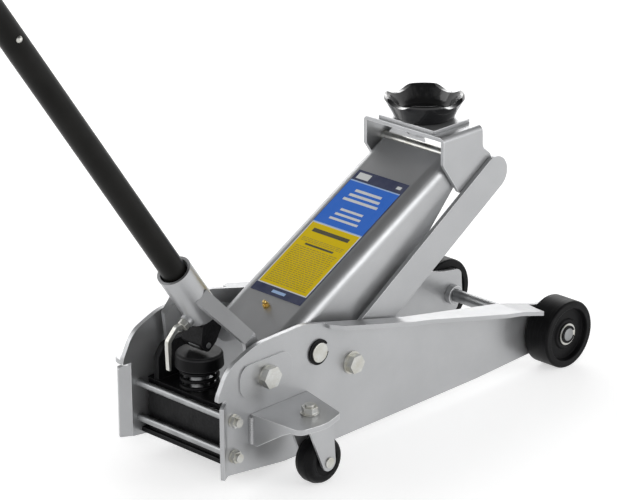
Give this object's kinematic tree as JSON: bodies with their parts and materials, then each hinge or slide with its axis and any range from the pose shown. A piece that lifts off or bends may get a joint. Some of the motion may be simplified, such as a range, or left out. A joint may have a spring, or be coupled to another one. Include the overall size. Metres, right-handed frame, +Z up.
{
  "type": "trolley jack",
  "caption": "Wheeled hydraulic floor jack with a level-riding saddle, swivel casters and a detachable pumping handle.",
  "frame": {"origin": "on the floor under the centre of the overall box, with the lift arm part raised and the handle leaning back", "axes": "+X from the handle towards the fixed front wheels, +Y to the left side, +Z up"},
  "size_m": [0.9577, 0.2798, 0.8506],
  "materials": {
    "silver_paint": "metallic silver-grey paint, satin",
    "zinc": "zinc plated, slightly yellow",
    "steel": "bare turned steel, lightly oiled",
    "black_metal": "black paint, satin",
    "cast_black": "black painted casting",
    "black_spring": "black oxide",
    "wheel_black": "moulded black, satin",
    "saddle_black": "gloss black paint",
    "label": "printed foil label, yellow and blue",
    "brass": "brass",
    "handle_dark": "charcoal powder coat",
    "grip_rubber": "ribbed black rubber"
  },
  "bodies": {
    "chassis": {"side_plate_right": "silver_paint", "side_plate_left": "silver_paint", "base_plate": "black_metal", "rear_tie_rods": "steel", "tie_rod_nuts": "zinc", "front_axle": "steel", "axle_collars": "silver_paint", "axle_washers": "zinc", "circlips": "black_metal", "caster_bracket_right": "silver_paint", "caster_bracket_left": "silver_paint", "kingpins": "zinc", "kingpin_nuts": "zinc", "swivel_washers": "zinc", "lift_shaft": "zinc", "pivot_spacers": "steel", "link_bolts": "zinc", "pump_block": "cast_black", "lift_cylinder": "cast_black", "cylinder_gland": "steel", "pump_barrel": "steel", "pump_spring": "black_spring", "filler_plug": "steel", "socket_pivot_bolts": "zinc"},
    "front_wheel_right": {"front_wheel_right": "wheel_black"},
    "front_wheel_left": {"front_wheel_left": "wheel_black"},
    "caster_right": {"caster_fork_right": "silver_paint", "caster_axle_right": "zinc"},
    "caster_left": {"caster_fork_left": "silver_paint", "caster_axle_left": "zinc"},
    "caster_wheel_right": {"caster_wheel_right": "wheel_black"},
    "caster_wheel_left": {"caster_wheel_left": "wheel_black"},
    "lift_arm": {"lift_arm": "silver_paint", "shaft_sleeve": "silver_paint", "crank_cheeks": "silver_paint", "crank_pin": "steel", "label_plate": "label", "grease_nipple": "brass", "head_pin": "zinc"},
    "head": {"head_bracket": "silver_paint", "saddle_plate": "silver_paint", "link_head_pins": "silver_paint"},
    "saddle": {"saddle": "saddle_black", "saddle_ring": "steel"},
    "link_right": {"link_right": "silver_paint"},
    "link_left": {"link_left": "silver_paint"},
    "ram": {"ram": "steel", "ram_yoke": "cast_black"},
    "handle_socket": {"handle_socket": "silver_paint", "roller_bracket": "cast_black", "roller_pin": "steel", "lock_screw": "zinc"},
    "pump_roller": {"pump_roller": "steel"},
    "pump_plunger": {"pump_plunger": "steel", "spring_cap": "black_metal"},
    "release_valve": {"release_valve": "steel"},
    "handle": {"handle_lower": "handle_dark", "handle_upper": "handle_dark", "handle_grip": "grip_rubber"},
    "handle_button": {"handle_button": "zinc"}
  },
  "joints": [
    {"name": "front_wheel_right_spin", "type": "hinge", "parent": "chassis", "child": "front_wheel_right", "pos_m": [0.44136, -0.089, 0.0375], "axis": [0, 1, 0], "continuous": true},
    {"name": "front_wheel_left_spin", "type": "hinge", "parent": "chassis", "child": "front_wheel_left", "pos_m": [0.44136, 0.089, 0.0375], "axis": [0, 1, 0], "continuous": true},
    {"name": "caster_right_swivel", "type": "hinge", "parent": "chassis", "child": "caster_right", "pos_m": [0.03736, -0.1115, 0.06], "axis": [0, 0, 1], "continuous": true},
    {"name": "caster_left_swivel", "type": "hinge", "parent": "chassis", "child": "caster_left", "pos_m": [0.03736, 0.1115, 0.06], "axis": [0, 0, 1], "continuous": true},
    {"name": "caster_wheel_right_spin", "type": "hinge", "parent": "caster_right", "child": "caster_wheel_right", "pos_m": [0.04886, -0.1115, 0.025], "axis": [0, 1, 0], "continuous": true},
    {"name": "caster_wheel_left_spin", "type": "hinge", "parent": "caster_left", "child": "caster_wheel_left", "pos_m": [0.02586, 0.1115, 0.025], "axis": [0, 1, 0], "continuous": true},
    {"name": "lift_arm_pivot", "type": "hinge", "parent": "chassis", "child": "lift_arm", "pos_m": [0.09036, 0, 0.115], "axis": [0, -1, 0], "range_deg": [-41.2, 26.1]},
    {"name": "head_level", "type": "hinge", "parent": "lift_arm", "child": "head", "pos_m": [0.31763, 0, 0.25702], "axis": [0, -1, 0], "range_deg": [-26.1, 41.2]},
    {"name": "link_right_pivot", "type": "hinge", "parent": "chassis", "child": "link_right", "pos_m": [0.13836, -0.06, 0.089], "axis": [0, -1, 0], "range_deg": [-41.2, 26.1]},
    {"name": "link_left_pivot", "type": "hinge", "parent": "chassis", "child": "link_left", "pos_m": [0.13836, 0.06, 0.089], "axis": [0, -1, 0], "range_deg": [-41.2, 26.1]},
    {"name": "saddle_swivel", "type": "hinge", "parent": "head", "child": "saddle", "pos_m": [0.32233, 0, 0.29], "axis": [0, 0, 1], "continuous": true},
    {"name": "ram_slide", "type": "slide", "parent": "chassis", "child": "ram", "axis": [1, 0, 0], "range_m": [-0.0314, 0.02]},
    {"name": "handle_socket_pivot", "type": "hinge", "parent": "chassis", "child": "handle_socket", "pos_m": [0.01636, 0, 0.113], "axis": [0, -1, 0], "range_deg": [-15, 38]},
    {"name": "pump_roller_spin", "type": "hinge", "parent": "handle_socket", "child": "pump_roller", "pos_m": [-0.00564, 0, 0.1342], "axis": [0, 1, 0], "continuous": true},
    {"name": "pump_plunger_slide", "type": "slide", "parent": "chassis", "child": "pump_plunger", "axis": [0, 0, -1], "range_m": [-0.0072, 0.018], "deforming": ["pump_spring"]},
    {"name": "handle_twist", "type": "hinge", "parent": "handle_socket", "child": "handle", "pos_m": [-0.00477, 0, 0.17128], "axis": [-0.5664, 0, 0.8241], "range_deg": [0, 180]},
    {"name": "release_valve_turn", "type": "hinge", "parent": "chassis", "child": "release_valve", "pos_m": [0.00836, 0.033, 0.09], "axis": [0, 0, 1], "range_deg": [0, 180]},
    {"name": "handle_button_press", "type": "slide", "parent": "handle", "child": "handle_button", "axis": [0, 1, 0], "range_m": [0, 0.0046], "stiffness_N_per_m": 400}
  ],
  "couplings": [
    {"joint": "head_level", "follows": "lift_arm_pivot", "ratio": -1},
    {"joint": "link_right_pivot", "follows": "lift_arm_pivot", "ratio": 1},
    {"joint": "link_left_pivot", "follows": "lift_arm_pivot", "ratio": 1},
    {"joint": "ram_slide", "follows": "lift_arm_pivot", "m_per_rad": 0.0435},
    {"joint": "pump_plunger_slide", "follows": "handle_socket_pivot", "m_per_rad": 0.027},
    {"joint": "release_valve_turn", "follows": "handle_twist", "ratio": 1}
  ]
}
